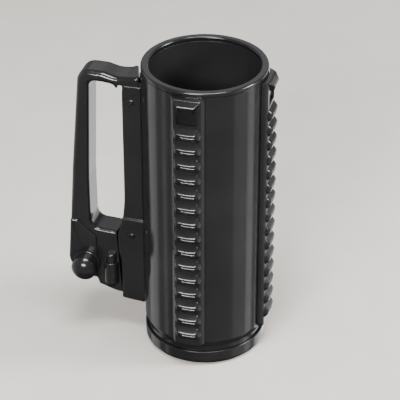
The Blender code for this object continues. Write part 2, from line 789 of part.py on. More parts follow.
def make_handle(holes):
    handle = outline_piece(
        "carry_handle", [handle_outline(), finger_hole()], -HANDLE_HALF_WIDTH, HANDLE_HALF_WIDTH, SHELL
    )
    bevel = handle.modifiers.new("edges", "BEVEL")
    bevel.width = HANDLE_CHAMFER * MM
    bevel.segments = 1
    bevel.limit_method = "ANGLE"
    bevel.angle_limit = math.radians(60)
    bevel.use_clamp_overlap = True
    raised = outline_piece("raised_block", [block_outline()], -BLOCK_HALF_WIDTH, BLOCK_HALF_WIDTH)
    boolean(handle, raised, "UNION")
    for side, low, high in (("near", -20.0, -SPINE_HALF_WIDTH), ("far", SPINE_HALF_WIDTH, 20.0)):
        pocket = outline_piece(f"{side}_pocket", [plate_outline(GAP)], low, high)
        cut(handle, pocket)
    boolean(handle, pod(), "UNION")
    cut(handle, button_bore())
    pin_place = along_y(pin_x(), PIN_Z, POD_Y)
    pin_hole = rod("pin_hole", PIN_RADIUS + 0.15, -POD_RADIUS - 2.0, 6.0, None, pin_place)
    cut(handle, pin_hole)
    shaft_bore = SHAFT_RADIUS + RUNNING_CLEARANCE
    shaft_hole = rod("shaft_hole", shaft_bore, -20.0, 20.0, None, along_y(KNOB_X, KNOB_Z))
    cut(handle, shaft_hole)
    for i, (x, z) in enumerate(CROSS_SCREWS):
        cut(handle, rod(f"spine_hole_{i}", CROSS_SCREW_RADIUS + SCREW_GAP, -6.0, 6.0, None, along_y(x, z)))
    relief = block("arch_end_relief", (0.0, -3.0, HOLE_TOP_Z), (20.0, 30.0, HANDLE_TOP_Z + PROUD))
    slope = Matrix.Rotation(math.radians(ARCH_END_ANGLE), 4, "Z")
    relief.matrix_world = Matrix.Translation(Vector((SPINE_BACK_X - 0.2, 0.0, 0.0)) * MM) @ slope
    cut(handle, relief)
    cut(handle, holes)


def make_plates():
    """Cheeks over the handle's column; their inner edges follow the sleeve."""
    sleeve_round = rod("plate_back_round", BODY_RADIUS + GAP, 0.0, TOTAL_HEIGHT, steps=ROUND_STEPS)
    for name, side in (("near_side_plate", -1), ("far_side_plate", 1)):
        inner = side * (SPINE_HALF_WIDTH + GAP)
        outer = side * PLATE_LOWER_HALF_WIDTH
        plate = outline_piece(name, [plate_outline()], min(inner, outer), max(inner, outer), SHELL)
        shave_y = side * PLATE_UPPER_HALF_WIDTH
        reach = side * (PLATE_LOWER_HALF_WIDTH + PROUD)
        upper = block(
            f"{name}_shave",
            (PLATE_LOWER_X - 7.0, min(shave_y, reach), PLATE_STEP_Z),
            (PLATE_BACK_X, max(shave_y, reach), PLATE_TOP_Z + PROUD),
        )
        cut(plate, upper, sleeve_round)
        for i, (x, z) in enumerate(CROSS_SCREWS):
            face = PLATE_UPPER_HALF_WIDTH if z > PLATE_STEP_Z else PLATE_LOWER_HALF_WIDTH
            hole_place = along_y(x, z)
            hole = rod(f"{name}_hole_{i}", CROSS_SCREW_RADIUS + SCREW_GAP, -14.0, 14.0, None, hole_place)
            cut(plate, hole)
            if side < 0:
                seat = rod(
                    f"head_seat_{i}", CROSS_HEAD_RADIUS + SCREW_GAP,
                    -face - PROUD, -face + CROSS_HEAD_DEPTH, None, hole_place,
                )
            else:
                seat = rod(
                    f"nut_seat_{i}", CROSS_NUT_RADIUS + 0.4,
                    face - CROSS_NUT_HEIGHT - 0.2, face + PROUD, None, hole_place, steps=6,
                )
            cut(plate, seat)


def make_cross_screws():
    for i, (x, z) in enumerate(CROSS_SCREWS):
        name = ("upper_cross", "lower_cross")[i]
        face = PLATE_UPPER_HALF_WIDTH if z > PLATE_STEP_Z else PLATE_LOWER_HALF_WIDTH
        seat = -face + CROSS_HEAD_DEPTH - GAP
        profile = [
            (0, face - 0.4),
            (CROSS_SCREW_RADIUS, face - 0.4),
            (CROSS_SCREW_RADIUS, seat),
            (CROSS_HEAD_RADIUS, seat),
            (CROSS_HEAD_RADIUS, -face - 0.1),
            (CROSS_HEAD_RADIUS * 0.6, -face - 0.5),
            (0, -face - 0.6),
        ]
        turned(name + "_screw", profile, FASTENER, SMALL_STEPS, False, along_y(x, z))
        nut_low = face - CROSS_NUT_HEIGHT + 0.1
        bore = CROSS_SCREW_RADIUS + SCREW_GAP
        nut_high = nut_low + CROSS_NUT_HEIGHT
        outline_ring(name + "_nut", CROSS_NUT_RADIUS, bore, nut_low, nut_high, FASTENER, along_y(x, z))


def make_knob():
    """The knob turns with its shaft and the collar that keeps it on."""
    front = KNOB_BACK_Y - KNOB_LENGTH
    bore = SHAFT_RADIUS + 0.15
    blind = KNOB_BACK_Y - KNOB_LENGTH * 0.7
    profile = [
        (0, blind),
        (bore, blind),
        (bore, KNOB_BACK_Y),
        (KNOB_RADIUS - 0.6, KNOB_BACK_Y),
        (KNOB_RADIUS, KNOB_BACK_Y - 0.6),
        (KNOB_RADIUS, front + 3.0),
        (KNOB_RADIUS * 0.94, front + 1.4),
        (KNOB_RADIUS * 0.78, front - KNOB_DOME * 0.1),
        (KNOB_RADIUS * 0.52, front - KNOB_DOME * 0.62),
        (KNOB_RADIUS * 0.26, front - KNOB_DOME * 0.92),
        (0, front - KNOB_DOME),
    ]
    turned("sight_knob", profile, SHELL, 24, False, along_y(KNOB_X, KNOB_Z))
    collar_low = BLOCK_HALF_WIDTH + GAP
    collar_high = collar_low + COLLAR_LENGTH
    rod("knob_shaft", SHAFT_RADIUS, blind + GAP, collar_high - 0.5, FASTENER, along_y(KNOB_X, KNOB_Z))
    collar = [
        (COLLAR_RADIUS, collar_high),
        (COLLAR_RADIUS, collar_low),
        (bore, collar_low),
        (bore, collar_high),
    ]
    turned("knob_collar", collar, FASTENER, SMALL_STEPS, True, along_y(KNOB_X, KNOB_Z))
    washer_low = -(BLOCK_HALF_WIDTH + GAP + SPRING_WASHER)
    washer_high = washer_low + SPRING_WASHER
    hole = SHAFT_RADIUS + GAP
    washer = [
        (SPRING_WASHER_RADIUS, washer_high),
        (SPRING_WASHER_RADIUS, washer_low),
        (hole, washer_low),
        (hole, washer_high),
    ]
    turned("knob_washer", washer, SPRING_STEEL, SMALL_STEPS, True, along_y(KNOB_X, KNOB_Z))


def make_button():
    """Push button: head, stem, and a neck that the pin runs in, so that it can't come out."""
    head_low = POD_TOP_Z - BUTTON_GUIDE
    neck_low = PIN_Z - PIN_RADIUS - 0.2
    neck_high = PIN_Z + PIN_RADIUS + BUTTON_TRAVEL + 0.2
    profile = [
        (0, BUTTON_TOP_Z),
        (BUTTON_RADIUS - 0.9, BUTTON_TOP_Z),
        (BUTTON_RADIUS, BUTTON_TOP_Z - 0.9),
        (BUTTON_RADIUS, head_low),
        (STEM_RADIUS, head_low),
        (STEM_RADIUS, neck_high),
        (NECK_RADIUS, neck_high),
        (NECK_RADIUS, neck_low),
        (STEM_RADIUS, neck_low),
        (STEM_RADIUS, POD_BOTTOM_Z + POD_FLOOR + BUTTON_TRAVEL + GAP),
        (0, POD_BOTTOM_Z + POD_FLOOR + BUTTON_TRAVEL + GAP),
    ]
    place = Matrix.Translation(Vector((POD_X, POD_Y, 0)) * MM)
    turned("push_button", profile, SHELL, SMALL_STEPS, False, place)

    pin_low = -POD_RADIUS + 0.6
    rod("button_pin", PIN_RADIUS, pin_low, 5.6, FASTENER, along_y(pin_x(), PIN_Z, POD_Y), steps=12)

    coil_low = POD_TOP_Z - CHAMBER_DEPTH + GAP + SPRING_WIRE
    coil_high = head_low - GAP - SPRING_WIRE
    coil_radius = (BUTTON_RADIUS + RUNNING_CLEARANCE + STEM_RADIUS) / 2
    curve = bpy.data.curves.new("button_spring", "CURVE")
    curve.dimensions = "3D"
    curve.bevel_depth = SPRING_WIRE * MM
    curve.bevel_resolution = 1
    curve.use_fill_caps = True
    per_turn = 12
    count = SPRING_TURNS * per_turn + 1
    spline = curve.splines.new("POLY")
    spline.points.add(count - 1)
    for k in range(count):
        angle = 2 * math.pi * k / per_turn
        z = coil_low + (coil_high - coil_low) * k / (count - 1)
        x = POD_X + coil_radius * math.cos(angle)
        y = POD_Y + coil_radius * math.sin(angle)
        spline.points[k].co = (x * MM, y * MM, z * MM, 1.0)
    spring = bpy.data.objects.new("button_spring", curve)
    MUG.objects.link(spring)
    curve.materials.append(SPRING_STEEL)


def main():
    holes = screw_cutter("radial_holes")
    make_base()
    make_tie()
    make_liner()
    make_rim()
    make_sleeve(holes)
    make_radial_screws()
    make_rails(holes)
    make_handle(holes)
    make_plates()
    make_cross_screws()
    make_knob()
    make_button()


main()
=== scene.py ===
"""Finished surfaces, finishes, light and camera for the black rail-sided mug.

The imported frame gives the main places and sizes. Lengths are in millimetres until a mesh is made; lights
and the camera are placed in metres. +Z is up, the handle points to -X and the front rail faces -Y.
"""

import json
import math

import bpy
import numpy as np
from mathutils import Matrix, Vector


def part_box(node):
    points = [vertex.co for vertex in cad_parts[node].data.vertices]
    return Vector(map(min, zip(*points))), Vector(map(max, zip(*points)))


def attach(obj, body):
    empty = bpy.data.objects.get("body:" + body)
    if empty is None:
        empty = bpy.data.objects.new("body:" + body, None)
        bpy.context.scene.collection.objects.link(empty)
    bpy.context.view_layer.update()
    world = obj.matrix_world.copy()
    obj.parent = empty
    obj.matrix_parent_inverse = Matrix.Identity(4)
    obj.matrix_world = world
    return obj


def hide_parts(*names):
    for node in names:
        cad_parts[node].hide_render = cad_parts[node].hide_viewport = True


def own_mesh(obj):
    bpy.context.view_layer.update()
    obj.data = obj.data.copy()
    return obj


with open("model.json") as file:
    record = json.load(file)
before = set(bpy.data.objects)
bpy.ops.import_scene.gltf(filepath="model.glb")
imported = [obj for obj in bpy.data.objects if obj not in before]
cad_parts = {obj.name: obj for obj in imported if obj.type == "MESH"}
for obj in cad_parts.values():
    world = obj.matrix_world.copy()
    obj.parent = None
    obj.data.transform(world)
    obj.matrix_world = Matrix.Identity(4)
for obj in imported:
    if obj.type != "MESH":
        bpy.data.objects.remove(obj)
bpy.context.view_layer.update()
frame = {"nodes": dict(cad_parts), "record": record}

MM = 0.001
TURN = 2 * math.pi


def span(node):
    """Lowest and highest corner of a CAD node, in millimetres."""
    low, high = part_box(node)
    return np.array(low) / MM, np.array(high) / MM


# ---- places and sizes, in millimetres, from the frame -----------------------------------
SLEEVE_LOW, SLEEVE_HIGH = span("outer_sleeve")
RIM_LOW, RIM_HIGH = span("rim_ring")
LINER_LOW, LINER_HIGH = span("cup_liner")
CAP_LOW, CAP_HIGH = span("base_cap")
PAD_HIGH = span("foot_pad")[1]
RAIL_LOW, RAIL_HIGH = span("side_rail")
HANDLE_HIGH = span("carry_handle")[1]
PLATE_LOW, PLATE_HIGH = span("near_side_plate")
KNOB_LOW, KNOB_HIGH = span("sight_knob")
BUTTON_LOW, BUTTON_HIGH = span("push_button")

BODY_R = SLEEVE_HIGH[0]
RIM_R = RIM_HIGH[0]
RIM_TOP = RIM_HIGH[2]
GAP = 0.3  # clearance between neighbouring pieces
SLEEVE_WALL = 2.2
LINER_WALL = 1.2
LINER_INNER = LINER_HIGH[0] - 3.2

KNOB_X = (KNOB_LOW[0] + KNOB_HIGH[0]) / 2
KNOB_Z = (KNOB_LOW[2] + KNOB_HIGH[2]) / 2
POD_TOP, POD_LOW = 49.0, 31.0

# ---- finishes ---------------------------------------------------------------------------


def finish(name, colour, roughness, metallic=0.0, mottle=0.25, speck=900.0, bump=0.02, spread=0.05):
    """A procedural finish: slow mottling of the colour, a fine change of gloss, and a fine surface texture.
    mottle is the colour's swing either way, spread the roughness's, speck the texture's scale."""
    material = bpy.data.materials.new(name)
    material.use_nodes = True
    nodes, links = material.node_tree.nodes, material.node_tree.links
    shader = nodes["Principled BSDF"]
    shader.inputs["Metallic"].default_value = metallic
    place = nodes.new("ShaderNodeTexCoord")

    cloud = nodes.new("ShaderNodeTexNoise")
    cloud.inputs["Scale"].default_value = 28.0
    cloud.inputs["Detail"].default_value = 3.0
    ramp = nodes.new("ShaderNodeValToRGB")
    ramp.color_ramp.elements[0].position = 0.3
    ramp.color_ramp.elements[0].color = (*(c * (1 - mottle) for c in colour), 1.0)
    ramp.color_ramp.elements[1].position = 0.7
    ramp.color_ramp.elements[1].color = (*(c * (1 + mottle) for c in colour), 1.0)
    links.new(place.outputs["Object"], cloud.inputs["Vector"])
    links.new(cloud.outputs["Fac"], ramp.inputs["Fac"])
    links.new(ramp.outputs["Color"], shader.inputs["Base Color"])

    haze = nodes.new("ShaderNodeTexNoise")
    haze.inputs["Scale"].default_value = 75.0
    haze.inputs["Detail"].default_value = 4.0
    gloss = nodes.new("ShaderNodeMapRange")
    gloss.inputs["From Min"].default_value = 0.25
    gloss.inputs["From Max"].default_value = 0.75
    gloss.inputs["To Min"].default_value = roughness - spread
    gloss.inputs["To Max"].default_value = roughness + spread
    links.new(place.outputs["Object"], haze.inputs["Vector"])
    links.new(haze.outputs["Fac"], gloss.inputs["Value"])
    links.new(gloss.outputs["Result"], shader.inputs["Roughness"])

    grain = nodes.new("ShaderNodeTexNoise")
    grain.inputs["Scale"].default_value = speck
    grain.inputs["Detail"].default_value = 2.0
    relief = nodes.new("ShaderNodeBump")
    relief.inputs["Strength"].default_value = bump
    relief.inputs["Distance"].default_value = 0.0004
    links.new(place.outputs["Object"], grain.inputs["Vector"])
    links.new(grain.outputs["Fac"], relief.inputs["Height"])
    links.new(relief.outputs["Normal"], shader.inputs["Normal"])
    return material


SHELL_COLOUR = (0.0095, 0.0095, 0.010)
COATING_COLOUR = (0.020, 0.020, 0.021)
RUBBER_COLOUR = (0.016, 0.016, 0.016)
STEEL_COLOUR = (0.10, 0.10, 0.105)
WIRE_COLOUR = (0.45, 0.45, 0.46)
FLOOR_COLOUR = (0.62, 0.58, 0.53)
CLOTH_COLOUR = (0.01, 0.01, 0.01)

FINISHES = {
    "black_shell": finish("moulded_black", SHELL_COLOUR, 0.17, speck=700.0, bump=0.03),
    "black_coating": finish("coated_black", COATING_COLOUR, 0.32, metallic=0.3, bump=0.01, spread=0.02),
    "black_rubber": finish("soft_rubber", RUBBER_COLOUR, 0.75, speck=1600.0, bump=0.25),
    "dark_steel": finish("blackened_steel", STEEL_COLOUR, 0.32, metallic=1.0, speck=1500.0, bump=0.05),
    "spring_steel": finish("drawn_spring_wire", WIRE_COLOUR, 0.28, metallic=1.0, speck=2200.0, bump=0.05),
}

# ---- surfaces ---------------------------------------------------------------------------


def signed_volume(points, quads):
    """Six times the volume inside the faces; it is negative when they face inwards."""
    a, b, c, d = (points[quads[:, k]] for k in range(4))
    return (np.cross(a, b) * c).sum() + (np.cross(a, c) * d).sum()


def skin(name, rows, slot, body="mug", stands_for=(), ring=False, poles=None, crease=40.0):
    """A closed surface through a grid of points, in millimetres. Columns run round the piece and close on
    themselves; rows run along it. With ring the rows close too. Otherwise each end closes on one point,
    which is the middle of its row unless poles gives it."""
    rows = np.asarray(rows, float)
    count, around = rows.shape[:2]
    here = np.arange(count * around).reshape(count, around)
    beside = np.roll(here, -1, axis=1)
    points = rows.reshape(-1, 3)
    if ring:
        below, below_beside = np.roll(here, -1, axis=0), np.roll(beside, -1, axis=0)
        quads = np.stack([here, beside, below_beside, below], -1).reshape(-1, 4)
        caps = np.zeros((0, 4), int)
    else:
        quads = np.stack([here[:-1], beside[:-1], beside[1:], here[1:]], -1).reshape(-1, 4)
        ends = rows[[0, -1]].mean(axis=1) if poles is None else np.asarray(poles, float)
        points = np.vstack([points, ends])
        first, last = np.full(around, count * around), np.full(around, count * around + 1)
        caps = np.vstack(
            [
                np.stack([first, beside[0], here[0], first], -1),
                np.stack([last, here[-1], beside[-1], last], -1),
            ]
        )
    if signed_volume(points, np.vstack([quads, caps])) < 0:
        quads, caps = quads[:, ::-1], caps[:, [0, 2, 1, 3]]
    mesh = bpy.data.meshes.new(name)
    mesh.from_pydata((points * MM).tolist(), [], quads.tolist() + caps[:, :3].tolist())
    mesh.shade_smooth()
    mesh.set_sharp_from_angle(angle=math.radians(crease))
    mesh.materials.append(FINISHES[slot])
    piece = bpy.data.objects.new(name, mesh)
    bpy.context.scene.collection.objects.link(piece)
    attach(piece, body)
    if stands_for:
        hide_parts(*([stands_for] if isinstance(stands_for, str) else stands_for))
    return piece


def rounded(corners, arc=6, closed=True):
    """Outline in a plane through corners (a, b, radius). Each corner becomes an arc that touches both of its
    sides, and one more point stands just outside each end of the arc, so that flat sides shade flat."""
    table = np.asarray(corners, float)
    corner, radius = table[:, :2], table[:, 2]
    back, ahead = np.roll(corner, 1, 0) - corner, np.roll(corner, -1, 0) - corner
    back_length, ahead_length = np.hypot(*back.T), np.hypot(*ahead.T)
    back, ahead = back / back_length[:, None], ahead / ahead_length[:, None]
    half = np.clip(np.arccos(np.clip((back * ahead).sum(1), -1, 1)) / 2, 0.02, math.pi / 2 - 0.002)
    reach = np.minimum(radius / np.tan(half), 0.48 * np.minimum(back_length, ahead_length))
    radius = reach * np.tan(half)
    inward = back + ahead
    inward = inward / np.maximum(np.hypot(*inward.T), 1e-9)[:, None]
    centre = corner + inward * (radius / np.sin(half))[:, None]
    start, end = corner + back * reach[:, None] - centre, corner + ahead * reach[:, None] - centre
    sweep = (math.pi - 2 * half)[:, None]
    t = np.linspace(0, 1, arc + 1)[None, :]
    from_start = (np.sin((1 - t) * sweep) / np.sin(sweep))[..., None]
    from_end = (np.sin(t * sweep) / np.sin(sweep))[..., None]
    bend = centre[:, None] + from_start * start[:, None] + from_end * end[:, None]
    lead = np.minimum(0.25, 0.02 * back_length)[:, None, None]
    trail = np.minimum(0.25, 0.02 * ahead_length)[:, None, None]
    before = bend[:, :1] + back[:, None] * lead
    after = bend[:, -1:] + ahead[:, None] * trail
    outline = np.concatenate([before, bend, after], axis=1)
    if closed:
        return outline.reshape(-1, 2)
    inner = outline[1:-1].reshape(-1, 2)
    return np.vstack([corner[:1], inner, corner[-1:]])


def spun(profile, steps=224, wobble=None):
    """Grid of a profile of (radius, height) pairs carried round the Z axis. wobble, if given, takes the
    grid's radii and heights and the angles and returns new radii."""
    angle = np.linspace(0, TURN, steps, endpoint=False)[None, :]
    radius = np.repeat(profile[:, :1], steps, axis=1)
    height = np.repeat(profile[:, 1:2], steps, axis=1)
    if wobble is not None:
        radius = wobble(radius, height, angle)
    return np.stack([radius * np.cos(angle), radius * np.sin(angle), height], -1)


def turned(name, corners, slot, steps=224, axis=None, wobble=None, arc=6, **kept):
    """A turned piece. Its profile starts and ends on the axis, or, with ring, closes on itself. axis gives a
    place for it: (origin, matrix) with the matrix turning local Z into the piece's axis."""
    ring = kept.get("ring", False)
    profile = rounded(corners, arc, closed=ring)
    if ring:
        rows = spun(profile, steps, wobble)
    else:
        rows = spun(profile[1:-1], steps, wobble)
        kept["poles"] = np.array([[0, 0, profile[0, 1]], [0, 0, profile[-1, 1]]], float)
    if axis is not None:
        origin, turn = axis
        rows = rows @ np.asarray(turn).T + np.asarray(origin)
        if "poles" in kept:
            kept["poles"] = kept["poles"] @ np.asarray(turn).T + np.asarray(origin)
    return skin(name, rows, slot, **kept)


# lays the axis of a turned piece towards the near side (-Y), or leaves it upright
TO_NEAR = np.array([[1, 0, 0], [0, 0, -1], [0, 1, 0]], float)
UPRIGHT = np.eye(3)


def boxed(low_a, high_a, low_b, high_b, radii, arc=6):
    """Rounded rectangles, one per row, as (rows, columns, 2). Each bound is an array with one value per row.
    radii are those of the corners (low, low), (high, low), (high, high) and (low, high), each a number or
    one value per row."""
    sides = [
        (low_a, 1, low_b, 1, 180),
        (high_a, -1, low_b, 1, 270),
        (high_a, -1, high_b, -1, 0),
        (low_a, 1, high_b, -1, 90),
    ]
    rows = len(low_a)
    parts = []
    for (a, a_sign, b, b_sign, start), radius in zip(sides, radii):
        radius = np.broadcast_to(np.asarray(radius, float), (rows,))[:, None]
        angle = np.radians(start + np.linspace(0, 90, arc + 1))[None, :]
        centre_a = np.asarray(a, float).reshape(-1, 1) + a_sign * radius
        centre_b = np.asarray(b, float).reshape(-1, 1) + b_sign * radius
        bend = np.stack([centre_a + radius * np.cos(angle), centre_b + radius * np.sin(angle)], -1)
        entry = bend[:, :1] - 0.12 * np.stack([-np.sin(angle[:, :1]), np.cos(angle[:, :1])], -1)
        leave = bend[:, -1:] + 0.12 * np.stack([-np.sin(angle[:, -1:]), np.cos(angle[:, -1:])], -1)
        parts.append(np.concatenate([entry, bend, leave], axis=1))
    return np.concatenate(parts, axis=1)


def softened(distance, radius):
    """How far an edge of that radius has drawn in at a distance from the end of a piece."""
    inside = np.clip(radius - distance, 0, radius)
    return radius - np.sqrt(np.maximum(radius**2 - inside**2, 0))


def slab(name, corners, low_y, high_y, slot, edge=0.8, arc=6, **kept):
    """A flat piece across Y. Its outline of (x, z, radius) corners draws in along a quarter circle at each
    face, so that both edges are rounded."""
    outline = rounded(corners, arc)
    ahead = np.roll(outline, -1, 0) - np.roll(outline, 1, 0)
    normal = np.stack([ahead[:, 1], -ahead[:, 0]], -1) / np.hypot(*ahead.T)[:, None]
    area = (outline[:, 0] * np.roll(outline[:, 1], -1) - np.roll(outline[:, 0], -1) * outline[:, 1]).sum()
    outward = normal if area > 0 else -normal
    angle = np.radians(np.array([0, 3, 18, 36, 54, 72, 87, 90]))
    inset = edge * (1 - np.sin(angle))
    depth = edge * (1 - np.cos(angle))
    inset = np.concatenate([[edge + 0.15], inset, [0], [0], inset[::-1], [edge + 0.15]])
    near = [[low_y], low_y + depth, [low_y + edge + 0.1]]
    far = [[high_y - edge - 0.1], high_y - depth[::-1], [high_y]]
    y = np.concatenate(near + far)
    flat = outline[None] - outward[None] * inset[:, None, None]
    rows = np.stack([flat[..., 0], np.repeat(y[:, None], len(outline), 1), flat[..., 1]], -1)
    return skin(name, rows, slot, **kept)


# ---- cup --------------------------------------------------------------------------------


def make_cup():
    """Sleeve, rim lip and liner, each turned from its own profile."""
    low, top = SLEEVE_LOW[2], SLEEVE_HIGH[2]
    groove_top = low + 3.5
    turned(
        "sleeve_shell",
        [
            (BODY_R, top, 0.15),
            (BODY_R, groove_top + 3.6, 5.0),
            (BODY_R - 1.2, groove_top - 0.4, 2.0),
            (BODY_R - 1.3, low + 1.0, 0.5),
            (BODY_R - 1.3, low, 0.15),
            (BODY_R - SLEEVE_WALL, low, 0.15),
            (BODY_R - SLEEVE_WALL, top - 2.6, 0.1),
            (BODY_R - 1.1, top - 2.6, 0.1),
            (BODY_R - 1.1, top, 0.15),
        ],
        "black_shell",
        steps=360,
        ring=True,
        stands_for="outer_sleeve",
    )
    turned(
        "rim_lip",
        [
            (LINER_INNER, RIM_LOW[2], 0.12),
            (LINER_INNER, RIM_TOP, 1.15),
            (RIM_R, RIM_TOP, 1.9),
            (RIM_R, RIM_LOW[2], 0.25),
        ],
        "black_shell",
        steps=360,
        arc=9,
        ring=True,
        stands_for="rim_ring",
    )
    floor, flange = LINER_LOW[2], LINER_HIGH[2]
    turned(
        "liner_shell",
        [
            (0, floor + LINER_WALL, 0),
            (LINER_INNER, floor + LINER_WALL, 7.0),
            (LINER_INNER, flange, 0.15),
            (LINER_HIGH[0], flange, 0.15),
            (LINER_HIGH[0], flange - LINER_WALL, 0.15),
            (LINER_INNER + LINER_WALL, flange - LINER_WALL, 0.3),
            (LINER_INNER + LINER_WALL, floor, 8.2),
            (0, floor, 0),
        ],
        "black_coating",
        steps=256,
        stands_for="cup_liner",
    )


def make_base():
    """Base cap, whose spigot holds the seal in a groove, and the foot pad with three rings in its sole."""
    radius, low, spigot_top = CAP_HIGH[0], CAP_LOW[2], CAP_HIGH[2]
    foot_top = SLEEVE_LOW[2] - GAP
    spigot = BODY_R - SLEEVE_WALL - GAP
    seat = PAD_HIGH[2] + GAP
    seal_low, seal_high = span("base_seal")
    turned(
        "base_shell",
        [
            (spigot - 3.6, spigot_top, 0.3),
            (spigot, spigot_top, 0.3),
            (spigot, seal_high[2] + GAP, 0.1),
            (spigot - 1.6, seal_high[2] + GAP, 0.1),
            (spigot - 1.6, seal_low[2] - GAP, 0.1),
            (spigot, seal_low[2] - GAP, 0.1),
            (spigot, foot_top, 0.2),
            (radius, foot_top, 0.4),
            (radius, low, 4.6),
            (PAD_HIGH[0] + GAP, low, 0.3),
            (PAD_HIGH[0] + GAP, seat, 0.1),
            (8.2, seat, 0.2),
            (8.2, seat + 4.3, 0.2),
            (3.3, seat + 4.3, 0.1),
            (3.3, seat + 6.7, 0.1),
            (10.2, seat + 6.7, 0.3),
            (10.2, seat + 3.4, 0.5),
            (spigot - 3.6, seat + 3.4, 1.2),
        ],
        "black_shell",
        steps=300,
        ring=True,
        stands_for="base_cap",
    )

    top = PAD_HIGH[2]
    profile = [(0, top, 0), (PAD_HIGH[0], top, 0.3), (PAD_HIGH[0], 0, 0.6)]
    for middle in (24.0, 18.0, 12.0):
        profile += [(middle + 0.8, 0, 0.15), (middle + 0.5, 0.5, 0.15)]
        profile += [(middle - 0.5, 0.5, 0.15), (middle - 0.8, 0, 0.15)]
    turned(
        "foot_disc",
        profile + [(0, 0, 0)],
        "black_rubber",
        steps=180,
        stands_for="foot_pad",
    )


# ---- rails ------------------------------------------------------------------------------
RIBS, PITCH = 15, 10.0
STRIP_R = BODY_R + 2.7  # face of a rail's strip
CREST = RAIL_HIGH[0] - STRIP_R - 0.05  # how far a rib stands out of the strip
TOP_RIB = RAIL_HIGH[2] - 22.6  # height of the first rib's middle
RIB_ROOT = 3.9  # upper root of a rib above its middle
ROW_STEP = 0.2  # distance between rows up a rail; the pitch is a whole number of them
EDGE_SLOPE = 2.6  # width of the slope along each long edge of a strip
LOW_ROUND = 3.6  # radius of a strip's two lower corners
TOP_FILLET = 0.8
SMOOTHING = np.array([0.06, 0.24, 0.4, 0.24, 0.06])


def soft_least(*heights, sharp):
    """Soft least of several heights: minus the logarithm of the sum of their falling exponentials."""
    return -np.log(sum(np.exp(-sharp * np.clip(h, -9, 9)) for h in heights)) / sharp


def rib_relief(across, z):
    """Height of the ribs over the strip: the soft least of two flanks, two round ends, and a crest that
    leans back a little downwards and falls away to both ends; then a fine groove along the crest."""
    number = np.clip(np.round((TOP_RIB - z) / PITCH), 0, RIBS - 1)
    rise = z - (TOP_RIB - number * PITCH)
    upper = (RIB_ROOT - rise) * 0.98
    lower = (rise + 4.4) * 0.95
    ends = (8.4 - np.abs(across) - 0.11 * rise**2) * 1.15
    crest = CREST + 0.12 - 0.2 * (0.95 - rise) - 0.014 * across**2
    groove = 0.95 * np.exp(-(((rise + 0.3) / 0.46) ** 2)) / (1 + np.exp(3 * (np.abs(across - 1.2) - 4.4)))
    return soft_least(upper, lower, ends, crest, sharp=3.2) - groove


def cap_relief(across, z):
    """Height of the wedge block under the rim: the soft least of a slope down from the rim, a short undercut,
    two sides that close in downwards, and a crest that leans back downwards."""
    top = RAIL_HIGH[2]
    slope = (top + 0.2 - z) * 0.86
    undercut = (z - (top - 8.2)) * 1.8
    side = (9.0 - (top - z) * 0.66 - np.abs(across)) * 2.6
    crest = CREST + 0.12 - 0.28 * np.clip(top - 4.0 - z, -1, 9)
    return soft_least(slope, undercut, side, crest, sharp=3.6)


def neck_relief(across, z):
    """Depth of the pocket between the wedge block and the first rib. Its floor falls away downwards, and
    ends in a step up to the strip."""
    top = RAIL_HIGH[2]
    fall = 0.3 + 1.2 * np.clip((top - 7.0 - z) / 9.0, 0, 1)
    wall = np.minimum((6.2 - np.abs(across)) * 2.2, (z - (top - 16.6)) * 6.0)
    return -np.where(z < top - 6.8, np.clip(np.minimum(wall, fall), 0, None), 0)


def blurred(grid, weights):
    """A grid of heights averaged with its neighbours along both directions, which rounds its edges."""
    reach = len(weights) // 2
    for axis in (0, 1):
        padded = np.pad(grid, [(reach, reach) if axis == k else (0, 0) for k in (0, 1)], mode="edge")
        size = grid.shape[axis]
        grid = sum(w * np.take(padded, np.arange(k, k + size), axis=axis) for k, w in enumerate(weights))
    return grid


def make_rail(name, node, turn_deg):
    """A rail as rows of closed sections up its length: the relief in front, the sleeve's curve behind. The
    strip's face slopes down to its two long edges and rounds off at its lower end."""
    half = RAIL_HIGH[1]
    low, top = RAIL_LOW[2], RAIL_HIGH[2]
    even = np.arange(TOP_RIB + RIB_ROOT - (RIBS + 1) * PITCH, top - 0.1, ROW_STEP)
    z = np.concatenate([[low, low + 0.05], even[even > low + 0.15], [top]])
    share = np.linspace(-1, 1, 80)
    across = half * (0.25 * np.sin(share * math.pi / 2) + 0.75 * share)
    grid_a, grid_z = np.meshgrid(across, z)
    relief = np.maximum(rib_relief(grid_a, grid_z), cap_relief(grid_a, grid_z))
    relief = np.maximum(blurred(relief, SMOOTHING), 0)
    relief = relief + neck_relief(grid_a, grid_z)
    slope = np.clip((np.abs(grid_a) - (half - EDGE_SLOPE)) / EDGE_SLOPE, 0, 1)
    start = np.clip(1 - (grid_z - low) / 2.2, 0, 1)
    face = STRIP_R - 2.5 * np.maximum(slope**1.6, start**2)
    front = face + relief - 0.9 * softened(top - grid_z, TOP_FILLET)
    rise = np.clip((z - low) / LOW_ROUND, 0, 1)
    shrink = (1 - (LOW_ROUND / half) * (1 - np.sqrt(rise * (2 - rise))))[:, None]
    back_a = np.linspace(half, -half, 13)[None, :] * shrink
    back_r = np.sqrt((BODY_R + GAP) ** 2 - back_a**2)
    radial = np.concatenate([front, back_r], axis=1)
    sideways = np.concatenate([grid_a * shrink, back_a], axis=1)
    height = np.repeat(z[:, None], radial.shape[1], axis=1)
    turn = math.radians(turn_deg)
    rows = np.stack(
        [
            radial * math.cos(turn) - sideways * math.sin(turn),
            radial * math.sin(turn) + sideways * math.cos(turn),
            height,
        ],
        -1,
    )
    return skin(name, rows, "black_shell", stands_for=node, crease=24)


